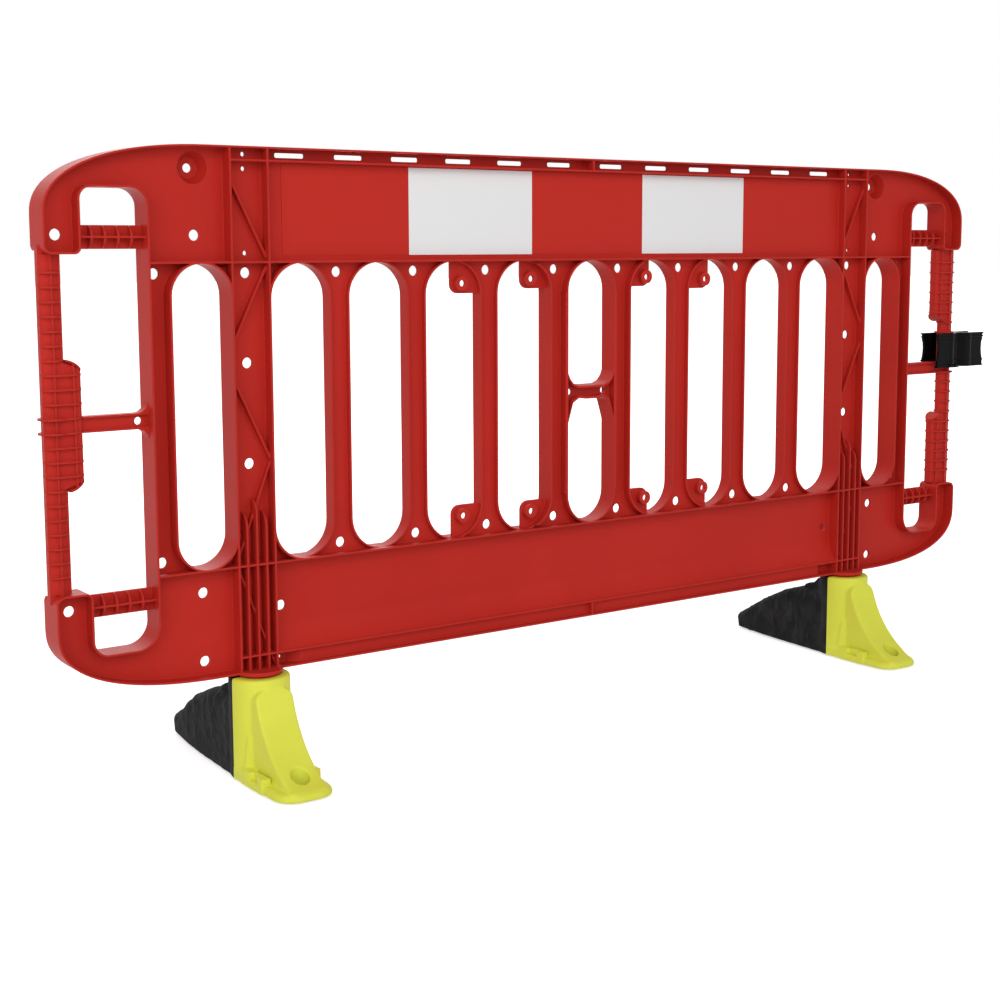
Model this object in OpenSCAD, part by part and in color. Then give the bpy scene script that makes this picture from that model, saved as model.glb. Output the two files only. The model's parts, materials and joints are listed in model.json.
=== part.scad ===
// Pedestrian barrier panel on two swivelling feet, with a connector clip.
// X runs along the panel, Y goes from the front to the rear, Z is up from the ground.

/* [Panel] */
// Length of the panel between the outer edges of its hooks
panel_len = 2000; // [1660:10:2200]
// Height of the top edge above the ground
panel_top = 1000; // [830:10:1150]
// Height of the bottom edge above the ground
panel_bottom = 172; // [165:1:200]
// Depth of the rim
rim_d = 55; // [48:1:64]
// How far the inner flanges reach behind the centre plane
back_d = 20; // [14:1:24]
// Thickness of the flanges
flange_t = 3; // [2.5:0.5:5]
// Thickness of the web between the flanges
web_t = 5; // [3:0.5:7]
// Thickness of the ribs and fins
rib_t = 3; // [2.5:0.5:5]
// Radius of the tie holes
tie_r = 8.5; // [6:0.5:10]
// Distance from a slot end to the tie hole beside it
tie_drop = 15; // [13:0.5:18]
// Radius of the small holes in the uprights
pilot_r = 3.75; // [3:0.25:5]
// Length of a top corner curve
top_curve_len = 258; // [200:2:270]
// Height of a top corner curve
top_curve_h = 105.5; // [85:0.5:120]
// Fullness of a top corner curve, 2 is an ellipse
top_curve_power = 2.25; // [2:0.05:3]
// Length of a bottom corner curve
low_curve_len = 273; // [220:1:280]
// Height of a bottom corner curve
low_curve_h = 105.5; // [90:0.5:130]
// Fullness of a bottom corner curve
low_curve_power = 2.45; // [2:0.05:3]

/* [Bars] */
// Width of a bar
bar_w = 36.3; // [30:0.1:44]
// Depth of a bar
bar_d = 24.5; // [20:0.5:36]
// How far the middle of the bars lies in front of the centre plane
bar_y = 3.5; // [0:0.5:6]
// Extra wall beside the centre opening
centre_wall = 2.3; // [1:0.1:5]
// Depth of the walls of the centre opening
centre_d = 38; // [26:1:44]
// Height of the arch crown that stays with the rail
crown_h = 5; // [3:0.5:8]
// Height of the carrying handle
handle_h = 24; // [20:1:30]

/* [Uprights and ends] */
// Width of an upright
upright_w = 66.6; // [60:0.2:74]
// Depth of an upright's zigzag ribs
zig_d = 27; // [18:1:36]
// Width of the slot outside an upright
end_slot_w = 99.2; // [90:0.2:106]
// Width of a stile
stile_w = 35.5; // [30:0.5:44]
// Width of a hand-hold
hand_w = 102.5; // [90:0.5:110]
// Distance from the top edge to the upper hand-hold
hand_top = 66.5; // [60:0.5:72]
// Distance from the bottom edge to the lower hand-hold
hand_low = 64.5; // [58:0.5:70]
// Width of a hook
hook_w = 56; // [50:1:60]
// Inner corner radius at the end of a hook
hook_r = 10; // [6:0.5:14]
// Outer corner radius at the end of a hook
hook_out_r = 14; // [8:0.5:18]
// How much shorter a hook is than the rail or the kick board
hook_short = 15; // [10:0.5:18]
// Diameter of a hand grip
grip_d = 35; // [30:1:38]
// Distance from the hook end to the middle of a grip
grip_in = 25; // [20:0.5:30]
// Depth of a middle brace
brace_d = 18; // [14:1:22]

/* [Rail and kick board] */
// Height of the top rail
rail_h = 179; // [165:1:195]
// Height of the kick board
kick_h = 175; // [160:1:190]
// Height of the slotted strip along the top edge
strip_h = 23; // [20:0.5:28]
// Height of the plain strip along the bottom edge
kick_strip_h = 28; // [24:0.5:34]
// Height of the bevel above the plain strip
bevel_h = 18; // [12:1:24]
// Length of a strip slot
tie_slot_l = 53; // [40:0.5:60]
// Height of a strip slot
tie_slot_h = 7.6; // [5:0.2:9]
// Distance from the centre line to the first strip slot
tie_slot_first = 59; // [50:0.5:70]
// Distance from the last strip slot to the upright
tie_slot_last = 49.2; // [40:0.2:60]
// How far the rail face stands in front of the centre plane
face_y = 10.5; // [8:0.5:14]
// Share of the band's half that the middle reflective sheet covers
sheet_mid_share = 0.2046; // [0.15:0.0001:0.25]
// Share of the band's half that a white sheet covers
sheet_white_share = 0.4124; // [0.35:0.0001:0.45]
// Bare width between the outer sheet and the upright
sheet_margin = 29.2; // [20:0.2:40]
// Bare height below the sheets
sheet_gap = 11.4; // [8:0.2:20]
// Height of the sheets
sheet_h = 143; // [110:1:144]
// Thickness of the sheets
sheet_t = 0.8; // [0.5:0.1:1.2]

/* [Fixings] */
// Hole radius of the sign lugs
lug_hole_r = 5.5; // [4:0.25:7]
// Distance from the slot's middle to an inner sign hole
lug_in_x = 14.8; // [12:0.1:18]
// Distance from the slot's middle to an outer sign hole
lug_out_x = 16.6; // [12:0.1:18]
// Distance from the slot end to an inner sign hole
lug_in_drop = 31; // [30:0.5:38]
// Distance from the slot end to an outer sign hole
lug_out_drop = 37; // [30:0.5:38]
// Radius of a lug's ring
lug_ring_r = 12.5; // [9:0.5:15]
// Radius of the lamp hole
lamp_hole_r = 7; // [5:0.25:9]
// Radius of the lamp cup's mouth
lamp_cup_r = 25; // [20:0.5:28]
// Depth of the lamp cup
lamp_cup_h = 20; // [14:0.5:23]
// Distance from the top edge to the middle of the lamp cup
lamp_drop = 34; // [30:0.5:40]

/* [Feet] */
// Where the swivel axis lies in front of the centre plane
hub_y = 19; // [14:0.5:22]
// How far the swivel axis lies inside the middle of the upright
hub_in = 2; // [0:0.5:4]
// Radius of the foot's collar
collar_r = 49; // [46:0.5:54]
// Gap between the panel's hub and the collar
collar_gap = 3.5; // [2:0.5:6]
// Radius of the hub disc
hub_r = 38; // [36:0.5:45]
// Radius of the spigot
spigot_r = 30; // [26:0.5:32]
// Running clearance between spigot and socket, and between clip and post
run_clear = 0.08; // [0.05:0.01:0.1]
// Height of the socket floor
socket_z = 40; // [34:1:50]
// Reach of the toe in front of the swivel axis
toe_len = 172; // [165:1:200]
// Half width of the strap on the toe
strap_hw = 32; // [26:0.5:36]
// Height of the top of the strap
strap_top = 152; // [140:1:156]
// Reach of the heel behind the swivel axis
heel_len = 306; // [260:2:340]
// Half width of the heel at its rear end
heel_end_hw = 21; // [18:1:30]
// Height of the studs under the sole
stud_h = 3; // [2:0.5:4]
// Radius of the ground pin hole
pin_hole_r = 15; // [10:0.5:17]
// Distance from the toe's front to the ground pin hole
pin_in = 39; // [34:0.5:46]
// Radius of the foot bolt
bolt_r = 6; // [5:0.5:8]

/* [End posts and clip] */
// Width of an end post
post_w = 33; // [30:0.5:36]
// How far an end post stands out beyond the hook
post_out = 2; // [0:0.5:6]
// Diameter of a post disc
disc_d = 34.6; // [33.5:0.2:38]
// How far a wide disc stands out beyond the inner edge of its plate
disc_out = 1.8; // [0:0.2:3]
// Diameter of the discs above and below the clip
seat_disc_d = 41; // [36:0.5:48]
// Diameter of the discs at the brace
brace_disc_d = 45; // [36:0.5:48]
// Distance between post discs
disc_pitch = 21.4; // [20:0.1:24]
// Thickness of an end post's plate
post_t = 12; // [5:1:14]
// Thickness of a post disc
disc_t = 3; // [2:0.5:4]
// Depth of the fins on an end post
fin_d = 28; // [24:1:32]
// Height of the waist and of the wide middle
waist_h = 196; // [180:2:210]
// Height of the curved lids at the ends of the wide parts
lid_h = 14; // [8:1:16]
// Wall of the clip's rings
clip_wall = 8; // [5:0.5:9]
// Distance between the clip's two rings
clip_span = 56; // [52:1:66]
// Gap between the clip and the disc below it
clip_rise = 9.3; // [0.3:0.1:12]
// Reach of the clip's arms from the ring's middle
clip_reach = 45; // [38:1:48]
// Half width of the clip's mouth at its end
clip_mouth = 18.5; // [17:0.5:21]

/* [Hidden] */
$fn = 64;
half = panel_len / 2;
bar_pitch = (panel_len - 2 * (upright_w + end_slot_w + stile_w + hand_w + hook_w) + bar_w) / 9;
slot_r = (bar_pitch - bar_w) / 2;
centre_hw = slot_r - centre_wall;
up_in = 4 * bar_pitch + slot_r;
up_out = up_in + upright_w;
up_x = up_in + upright_w / 2;
axis_x = up_x - hub_in;
end_slot_r = end_slot_w / 2;
end_slot_x = up_out + end_slot_r;
stile_in = up_out + end_slot_w;
stile_out = stile_in + stile_w;
hook_in = half - hook_w;
front_y = -rim_d / 2;
slot_top = panel_top - rail_h;
slot_bot = panel_bottom + kick_h;
slot_h = slot_top - slot_bot;
mid_v = (panel_top - panel_bottom) / 2;
spring_top = slot_top - slot_r;
spring_bot = slot_bot + slot_r;
cut_top = slot_top - crown_h;
cut_bot = slot_bot + crown_h;
tie_slot_pitch = (up_in - tie_slot_first - tie_slot_last) / 5;
sheet_run = up_in - sheet_margin;
sheet_mid_w = 2 * sheet_mid_share * sheet_run;
sheet_white_w = sheet_white_share * sheet_run;
// Each end of the panel: curve length, curve height, hand-hold edge, radius at the stile,
// radius at the hook, hook end, slot end, curve power
top_end = [top_curve_len, top_curve_h, hand_top, 27, 18, rail_h - hook_short, rail_h, top_curve_power];
low_end = [low_curve_len, low_curve_h, hand_low, 36, 23, kick_h - hook_short + 2, kick_h, low_curve_power];
hook_low_z = panel_bottom + low_end[5];
hook_top_z = panel_top - top_end[5];
collar_top = panel_bottom - 1.5 - collar_gap;
sole_z = stud_h;
toe_arc_r = 184;
toe_arc_y = -226;
toe_arc_z = 190;
post_r = post_w / 2;
post_x = half - post_r + post_out;
post_in = hook_in - post_x;
post_mid = (hook_low_z + hook_top_z) / 2;
brace_h = disc_pitch + rib_t;
mid_lo = post_mid - waist_h / 2;
mid_hi = post_mid + waist_h / 2;
seat_z = post_mid - disc_pitch / 2 + disc_t / 2;
clip_z = seat_z + clip_rise;
clip_h = 4 * disc_pitch - disc_t - clip_rise - 0.3;
bearing_r = post_r - 0.5;
clip_in = bearing_r + run_clear;
red = [0.73, 0.17, 0.14];
white = [0.89, 0.89, 0.89];
yellow = [0.86, 0.88, 0.31];
rubber = [0.15, 0.15, 0.15];
black = [0.05, 0.05, 0.05];
steel = [0.6, 0.6, 0.62];

// A flat shape in X and Z made solid from y0 to y1
module slab(y0, y1) {
    translate([0, y1, 0]) rotate([90, 0, 0]) linear_extrude(y1 - y0) children();
}

// A round hole or bar along Y
module along_y(x, z, r, y0, y1) {
    translate([x, y1, z]) rotate([90, 0, 0]) cylinder(r = r, h = y1 - y0);
}

// The same piece on the left side
module left_side() {
    mirror([1, 0, 0]) children();
}

// Shapes drawn inward from the panel's top or bottom edge
module at_top() {
    translate([0, 0, panel_top]) mirror([0, 0, 1]) children();
}

module at_bottom() {
    translate([0, 0, panel_bottom]) children();
}

// A shape at the upper slot ends, turned over to the lower ones
module turned_over() {
    translate([0, 0, slot_top + slot_bot]) mirror([0, 0, 1]) children();
}

// A slot with round ends, grown by g
module slot_shape(x, r, g) {
    translate([x - r - g, slot_bot + r]) square([2 * (r + g), slot_h - 2 * r]);
    for (z = [slot_bot + r, slot_top - r])
        translate([x, z]) circle(r = r + g);
}

function bar_slot_r(k) = k == 0 ? centre_hw : slot_r;

// Spandrel between two slots under the rail
module spandrel_shape(x0, x1, slots, g) {
    difference() {
        translate([x0, spring_top]) square([x1 - x0, cut_top - spring_top]);
        for (s = slots) slot_shape(s[0], s[1], g);
    }
}

module spandrel(x0, x1, slots, y0, y1) {
    slab(-bar_y - web_t / 2, -bar_y + web_t / 2) spandrel_shape(x0, x1, slots, 0);
    slab(y0, y1) difference() {
        spandrel_shape(x0, x1, slots, 0);
        spandrel_shape(x0, x1, slots, flange_t);
    }
}

module gusset_row() {
    for (i = [1:8]) {
        x = (i - 4.5) * bar_pitch;
        a = i - 5;
        depth = (a == 0 || a == -1) ? centre_d : bar_d;
        difference() {
            spandrel(a * bar_pitch, (a + 1) * bar_pitch,
                [[a * bar_pitch, bar_slot_r(a)], [(a + 1) * bar_pitch, bar_slot_r(a + 1)]],
                -bar_y - depth / 2, -bar_y + depth / 2);
            along_y(x, slot_top - tie_drop, tie_r, -bar_y - web_t, -bar_y + web_t);
        }
    }
    for (s = [0, 1]) mirror([s, 0, 0]) {
        spandrel(4 * bar_pitch, up_in, [[4 * bar_pitch, slot_r]], front_y, back_d);
        spandrel(up_out, end_slot_x, [[end_slot_x, end_slot_r]], front_y, back_d);
    }
}

module upper_gussets() {
    color(red) gusset_row();
}

module lower_gussets() {
    color(red) turned_over() gusset_row();
}

// A straight bar between the arches
module bar(i) {
    x = (i - 4.5) * bar_pitch;
    h = spring_top - spring_bot;
    inner = i == 4 ? 1 : (i == 5 ? -1 : 0);
    color(red) translate([x, -bar_y, spring_bot]) {
        translate([-bar_w / 2, -web_t / 2, 0]) cube([bar_w, web_t, h]);
        for (s = [-1, 1]) {
            deep = s == inner;
            grow = deep ? centre_wall : 0;
            d = deep ? centre_d : bar_d;
            x0 = s > 0 ? bar_w / 2 - flange_t : -bar_w / 2 - grow;
            translate([x0, -d / 2, 0]) cube([flange_t + grow, d, h]);
        }
    }
}

// Cross sections of the long rails, drawn inward from the edge
module long_flange(v0, v1, y0, y1) {
    translate([-up_in, y0, v0]) cube([2 * up_in, y1 - y0, v1 - v0]);
}

// Arch crowns along a rail, drawn inward from the edge
module crown_shape(slot_v, g) {
    difference() {
        translate([-up_in, slot_v - flange_t]) square([2 * up_in, crown_h + flange_t]);
        for (k = [-4:4])
            translate([k * bar_pitch, slot_v + bar_slot_r(k)]) circle(r = bar_slot_r(k) + g);
    }
}

module crown_band(slot_v) {
    slab(-bar_y - web_t / 2, -bar_y + web_t / 2) crown_shape(slot_v, 0);
    slab(-bar_y - bar_d / 2, -bar_y + bar_d / 2) difference() {
        crown_shape(slot_v, 0);
        crown_shape(slot_v, flange_t);
    }
}

module strip_slot() {
    r = tie_slot_h / 2 - 1;
    translate([-tie_slot_l / 2, -tie_slot_h / 2 + r]) square([tie_slot_l, tie_slot_h - 2 * r]);
    translate([-tie_slot_l / 2 + r, -tie_slot_h / 2]) square([tie_slot_l - 2 * r, tie_slot_h]);
    for (x = [-1, 1], z = [-1, 1])
        translate([x * (tie_slot_l / 2 - r), z * (tie_slot_h / 2 - r)]) circle(r = r);
}

module top_rail() {
    strip = strip_h - flange_t;
    color(red) at_top() difference() {
        union() {
            long_flange(0, flange_t, front_y, -front_y);
            long_flange(0, strip_h, -web_t / 2, web_t / 2);
            long_flange(strip, strip_h, front_y, back_d);
            long_flange(strip_h, rail_h, -face_y, -face_y + flange_t);
            long_flange(rail_h - flange_t, rail_h, front_y, back_d);
            crown_band(rail_h);
            translate([-rib_t / 2, front_y, 0]) cube([rib_t, rim_d, strip_h]);
            for (k = [-3:3])
                translate([k * bar_pitch - rib_t / 2, -face_y, strip_h])
                    cube([rib_t, face_y + back_d - 4, rail_h - strip_h]);
        }
        slab(-web_t, web_t) for (s = [-1, 1], k = [0:5])
            translate([s * (tie_slot_first + k * tie_slot_pitch), (flange_t + strip) / 2]) strip_slot();
    }
}

module kick_board() {
    strip = kick_strip_h - flange_t;
    color(red) at_bottom() difference() {
        union() {
            long_flange(0, flange_t, front_y, -front_y);
            long_flange(0, kick_h, -web_t / 2, web_t / 2);
            long_flange(strip, kick_strip_h, front_y, back_d);
            long_flange(kick_h - flange_t, kick_h, front_y, back_d);
            crown_band(kick_h);
            translate([-rib_t / 2, front_y, 0]) cube([rib_t, rim_d, kick_strip_h]);
            for (y = [front_y + 3, back_d - 3])
                translate([-up_in, 0, 0]) rotate([90, 0, 90]) linear_extrude(2 * up_in)
                    polygon([[0, kick_strip_h], [y, kick_strip_h], [sign(y) * web_t / 2, kick_strip_h + bevel_h],
                        [0, kick_strip_h + bevel_h]]);
        }
        for (s = [-1, 1]) {
            along_y(s * (up_in - 18), kick_h / 2 + 10, tie_r, -web_t, web_t);
            along_y(s * (up_in - 14), strip / 2, 3, -web_t, web_t);
        }
    }
}

// One upright with its zigzag ribs and the fins that run down to the hub
module upright() {
    h = panel_top - panel_bottom;
    hw = upright_w / 2;
    // Each zigzag rib: side and height of its ends, below the rail's lower edge
    zig = [[1, strip_h + 19 - rail_h, -1, -8], [-1, 3, 1, 0.278 * slot_h],
        [1, 0.367 * slot_h, -1, 0.652 * slot_h], [-1, 0.652 * slot_h, 0, 0.778 * slot_h]];
    levels = [panel_bottom + kick_strip_h - flange_t, slot_bot - flange_t, slot_top, panel_top - strip_h];
    fin_r = (back_d - front_y) / 2;
    color(red) translate([up_x, 0, 0]) difference() {
        union() {
            translate([-hw, -bar_y - web_t / 2, panel_bottom]) cube([upright_w, web_t, h]);
            for (x = [-hw, hw - flange_t])
                translate([x, front_y, panel_bottom]) cube([flange_t, back_d - front_y, h]);
            for (z = [panel_bottom, panel_top - flange_t])
                translate([-hw, front_y, z]) cube([upright_w, rim_d, flange_t]);
            for (z = levels)
                translate([-hw, front_y, z]) cube([upright_w, back_d - front_y, flange_t]);
            slab(-bar_y - zig_d / 2, -bar_y + zig_d / 2) for (r = zig)
                polygon([[r[0] * hw, slot_top - r[1] + 2.5], [r[0] * hw, slot_top - r[1] - 2.5],
                    [r[2] * hw, slot_top - r[3] - 2.5], [r[2] * hw, slot_top - r[3] + 2.5]]);
            for (k = [-1:1]) {
                fin_top = slot_bot + (k == 0 ? 105 : 83);
                translate([k * hw / 2 - rib_t / 2, front_y, panel_bottom])
                    cube([rib_t, 2 * fin_r, fin_top - fin_r - panel_bottom]);
                translate([k * hw / 2 - rib_t / 2, front_y + fin_r, fin_top - fin_r])
                    rotate([0, 90, 0]) cylinder(r = fin_r, h = rib_t);
            }
        }
        for (d = [tie_drop, 0.329 * slot_h, 0.6656 * slot_h])
            along_y(0, slot_top - d, tie_r, -bar_y - web_t, -bar_y + web_t);
        for (z = [panel_top - strip_h / 2, panel_top - strip_h - 10.7, slot_top + 15.6])
            along_y(0, z, pilot_r, -bar_y - web_t, -bar_y + web_t);
    }
}

// Hub disc and hollow spigot under an upright
module hub() {
    lip_z = panel_bottom - 1.5;
    floor_z = socket_z + 0.3;
    color(red) translate([axis_x, -hub_y, 0]) {
        difference() {
            translate([0, 0, lip_z]) cylinder(r = hub_r, h = 6);
            translate([-hub_r - 1, hub_y + front_y, panel_bottom])
                cube([2 * hub_r + 2, rim_d, 20]);
        }
        difference() {
            translate([0, 0, floor_z]) cylinder(r = spigot_r, h = lip_z - floor_z);
            translate([0, 0, floor_z + 12]) cylinder(r = spigot_r - 6, h = lip_z - floor_z - 18);
            translate([0, 0, floor_z - 1]) cylinder(r = bolt_r, h = 14);
        }
    }
}

// Outer edge of the panel's end, drawn inward from the edge
module edge_shape(e, g) {
    n = 24;
    p = 2 / e[7];
    curve = [for (i = [0:n]) let (t = 90 - 90 * i / n)
        [half - e[0] + (e[0] - g) * pow(cos(t), p), e[1] - (e[1] - g) * pow(sin(t), p)]];
    polygon(concat([[0, mid_v], [0, g]], curve, [[half - g, mid_v]]));
}

// Hand-hold and end opening, drawn inward from the edge and grown by g
module hand_void(e, g) {
    x0 = stile_out - g;
    x1 = hook_in + g;
    v0 = e[2] - g;
    v1 = mid_v + 6;
    rs = e[3] + g;
    rh = e[4] + g;
    ri = hook_r - g;
    ro = hook_out_r - g;
    hv = e[5] - g;
    translate([x0 + rs, v0]) square([x1 - rh - x0 - rs, v1 - v0]);
    translate([x0, v0 + rs]) square([rs + 1, v1 - v0 - rs]);
    translate([x1 - rh - 1, v0 + rh]) square([rh + 1, v1 - v0 - rh]);
    translate([x0 + rs, v0 + rs]) circle(r = rs);
    translate([x1 - rh, v0 + rh]) circle(r = rh);
    translate([hook_in - 1, hv]) square([hook_w + 20, v1 - hv]);
    for (c = [[x1, x1 + ri, ri], [half - g - ro, half - g - ro, ro]])
        difference() {
            translate([c[0], hv - c[2]]) square([c[2], c[2]]);
            translate([c[1], hv - c[2]]) circle(r = c[2]);
        }
}

module end_shape(e, g, x0, x1, v1) {
    intersection() {
        translate([x0, -1]) square([x1 - x0, v1 + 1]);
        difference() {
            edge_shape(e, g);
            hand_void(e, g);
            translate([end_slot_x, e[6] + end_slot_r]) circle(r = end_slot_r + g);
        }
    }
}

// Web, inner flanges and the deeper outer rim of one stretch of the panel's end
module end_plate(e, x0, x1, v1) {
    slab(-web_t / 2, web_t / 2) end_shape(e, 0, x0, x1, v1);
    slab(front_y, back_d) difference() {
        end_shape(e, 0, x0, x1, v1);
        end_shape(e, flange_t, x0, x1, v1);
    }
    slab(front_y, -front_y) difference() {
        end_shape(e, 0, x0, x1, v1);
        edge_shape(e, flange_t);
    }
}

// Corner plate between an upright and the hand-hold
module corner_plate(e) {
    end_plate(e, up_out, stile_out, e[6] + crown_h);
    translate([up_out, front_y, e[6] - flange_t]) cube([stile_out - up_out, back_d - front_y, flange_t]);
}

module top_corner() {
    color(red) at_top() difference() {
        union() {
            corner_plate(top_end);
            translate([end_slot_x, -web_t / 2, lamp_drop]) rotate([-90, 0, 0])
                cylinder(r1 = lamp_cup_r + 3, r2 = lamp_cup_r - 5, h = lamp_cup_h + 3);
        }
        translate([end_slot_x, -web_t / 2 - 0.01, lamp_drop]) rotate([-90, 0, 0])
            cylinder(r1 = lamp_cup_r, r2 = lamp_cup_r - 9, h = lamp_cup_h);
        along_y(end_slot_x, lamp_drop, lamp_hole_r, 0, lamp_cup_h + 10);
        along_y(end_slot_x, rail_h - 43, tie_r, -web_t, web_t);
    }
}

module low_corner() {
    color(red) at_bottom() difference() {
        corner_plate(low_end);
        for (v = [24.5, kick_h - 40.5])
            along_y(end_slot_x, v, tie_r, -web_t, web_t);
    }
}

// Hooked end of the panel round the hand-hold
module hook(e) {
    difference() {
        end_plate(e, stile_out, half, e[5] + 1);
        along_y(half - 27, e[5] - 28.5, tie_r, -web_t, web_t);
    }
}

module top_hook() {
    color(red) at_top() hook(top_end);
}

module low_hook() {
    color(red) at_bottom() hook(low_end);
}

// Stile between the end slot and the end opening
module stile_shape(g) {
    difference() {
        translate([end_slot_x, cut_bot]) square([stile_out - g - end_slot_x, cut_top - cut_bot]);
        slot_shape(end_slot_x, end_slot_r, g);
    }
}

module stile() {
    x = (stile_in + stile_out) / 2;
    color(red) difference() {
        union() {
            slab(-web_t / 2, web_t / 2) stile_shape(0);
            slab(front_y, back_d) difference() {
                stile_shape(0);
                stile_shape(flange_t);
            }
        }
        for (z = [slot_top - tie_drop, slot_bot + tie_drop]) along_y(x, z, tie_r, -web_t, web_t);
    }
}

// Ribbed hand grip between stile and hook
module grip(z) {
    n = 4;
    l = hook_in - stile_out;
    color(red) translate([stile_out, 0, z]) {
        translate([0, -web_t / 2, -grip_d / 2]) cube([l, web_t, grip_d]);
        translate([0, -grip_d / 2, -rib_t / 2]) cube([l, grip_d, rib_t]);
        for (i = [1:n])
            translate([i * l / (n + 1) - disc_t / 2, 0, 0]) rotate([0, 90, 0])
                cylinder(d = grip_d, h = disc_t);
    }
}

// Brace from the stile to an end post
module brace(x1) {
    f = 18;
    z0 = post_mid - brace_h / 2;
    z1 = post_mid + brace_h / 2;
    x0 = stile_out;
    color(red) difference() {
        union() {
            translate([x0, -web_t / 2, z0]) cube([x1 - x0, web_t, brace_h]);
            for (z = [z0, z1 - rib_t])
                translate([x0, -brace_d / 2, z]) cube([x1 - x0, brace_d, rib_t]);
            slab(-brace_d / 2, brace_d / 2) for (s = [-1, 1]) difference() {
                translate([x0, post_mid + s * (brace_h + f) / 2 - f / 2]) square([f, f]);
                translate([x0 + f, post_mid + s * (brace_h / 2 + f)]) circle(r = f);
            }
        }
        along_y(x0 + 14, post_mid, 6, -web_t, web_t);
    }
}

// The right brace meets the post's waist, below the seat of the clip round a disc
module right_brace() {
    difference() {
        brace(post_x - post_r);
        translate([post_x, 0, seat_z - brace_h]) cylinder(d = seat_disc_d, h = brace_h);
    }
}

// Curved end of a post's wide part, from the narrow edge at height z to the wide edge
function lid_line(z, rise) = [for (i = [0:8]) let (u = i / 8)
    [-post_r + (post_in + post_r) * u, z + rise * pow(u, 1.6)]];

function turned(line) = [for (i = [len(line) - 1:-1:0]) line[i]];

// Plate outlines of the two end posts, which complement each other
module post_plate(wide_mid) {
    rise = wide_mid ? -lid_h : lid_h;
    top = lid_line(mid_hi, rise);
    low = lid_line(mid_lo, -rise);
    left_edge = wide_mid
        ? concat([[-post_r, hook_top_z]], top, turned(low), [[-post_r, hook_low_z]])
        : concat([[post_in, hook_top_z]], turned(top), low, [[post_in, hook_low_z]]);
    polygon(concat([[post_r, hook_low_z], [post_r, hook_top_z]], left_edge));
}

// Plan of a post disc that stands out beyond the plate's inner edge
module disc_plan(wide, out) {
    reach = post_in + disc_d / 2 - out;
    circle(d = disc_d);
    if (wide) {
        translate([reach, 0]) circle(d = disc_d);
        translate([reach, -disc_d / 2]) square([-reach, disc_d]);
    }
}

module post_disc(z) {
    translate([0, 0, z - disc_t / 2]) linear_extrude(disc_t) children();
}

// Curved lid on the end of a post's wide part; t is its thickness upward
module post_lid(z, rise, t) {
    line = lid_line(z, rise);
    intersection() {
        slab(-disc_d, disc_d) polygon(concat(line, turned([for (q = line) q + [0, t]])));
        translate([0, 0, hook_low_z]) linear_extrude(hook_top_z - hook_low_z) disc_plan(true, disc_out);
    }
}

// Fills the space between a hook's round corner and the post
module corner_fill() {
    x = half - post_x - hook_out_r;
    difference() {
        translate([x, 0]) square([post_r - x, hook_out_r]);
        translate([x, hook_out_r]) circle(r = hook_out_r + 0.1);
    }
}

module post_fin(x, z0, z1) {
    translate([x - rib_t / 2, -fin_d / 2, z0]) cube([rib_t, fin_d, z1 - z0]);
}

module end_post(wide_mid) {
    n = floor((hook_top_z - post_mid - 12) / disc_pitch - 0.5);
    fin_x = post_in + 13;
    clip_top = clip_z + clip_h;
    color(red) translate([post_x, 0, 0]) {
        slab(-post_t / 2, post_t / 2) difference() {
            post_plate(wide_mid);
            if (!wide_mid)
                translate([bearing_r - 2, seat_z]) square([6, 4 * disc_pitch - disc_t]);
        }
        slab(-post_t / 2, post_t / 2) {
            translate([0, hook_top_z]) corner_fill();
            translate([0, hook_low_z]) mirror([0, 1]) corner_fill();
        }
        post_fin(0, hook_low_z, hook_top_z);
        if (wide_mid) {
            post_fin(fin_x, mid_lo + 6, mid_hi - 6);
            post_lid(mid_hi, -lid_h, -disc_t);
            post_lid(mid_lo, lid_h, disc_t);
        }
        if (!wide_mid) {
            post_fin(fin_x, hook_low_z, mid_lo - 6);
            post_fin(fin_x, mid_hi + 6, hook_top_z);
            post_lid(mid_hi, lid_h, disc_t);
            post_lid(mid_lo, -lid_h, -disc_t);
        }
        for (s = [-1, 1], k = [0:n]) {
            z = post_mid + s * (k + 0.5) * disc_pitch;
            in_mid = z > mid_lo + lid_h && z < mid_hi - lid_h;
            out_mid = z < mid_lo - lid_h || z > mid_hi + lid_h;
            in_clip = !wide_mid && z > clip_z && z < clip_top;
            at_seat = !wide_mid && !in_clip && z > seat_z - disc_pitch && z < clip_top + disc_pitch / 2;
            if (in_clip) post_disc(z) circle(r = bearing_r);
            if (!in_clip) post_disc(z) disc_plan(wide_mid ? in_mid : out_mid, k == 0 ? 0 : disc_out);
            if (wide_mid && k == 0) post_disc(z) circle(d = brace_disc_d);
            if (at_seat) post_disc(z) circle(d = seat_disc_d);
        }
    }
}

// Grip bridge across the centre opening
module carry_handle() {
    z0 = post_mid - handle_h / 2 - 0.5;
    z1 = post_mid + handle_h / 2 - 0.5;
    w = centre_hw;
    low = [[-w, z0 - 42], [-0.79 * w, z0 - 6], [-0.54 * w, z0 + 2], [-0.23 * w, z0],
        [0.23 * w, z0], [0.54 * w, z0 + 2], [0.79 * w, z0 - 6], [w, z0 - 42]];
    high = [[w, z1 + 24], [0.92 * w, z1 + 14], [0.77 * w, z1 + 5], [0.54 * w, z1],
        [-0.54 * w, z1], [-0.77 * w, z1 + 5], [-0.92 * w, z1 + 14], [-w, z1 + 24]];
    color(red) translate([0, -bar_y, 0]) difference() {
        union() {
            slab(-web_t / 2, web_t / 2) polygon(concat(low, high));
            slab(-centre_d / 2, centre_d / 2) {
                polygon(concat(low, [for (q = turned(low)) q + [0, flange_t + 1]]));
                polygon(concat(high, [for (q = turned(high)) q - [0, flange_t + 1]]));
            }
        }
        for (s = [-1, 1]) along_y(s * (w - 14), post_mid, 6, -web_t, web_t);
    }
}

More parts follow.
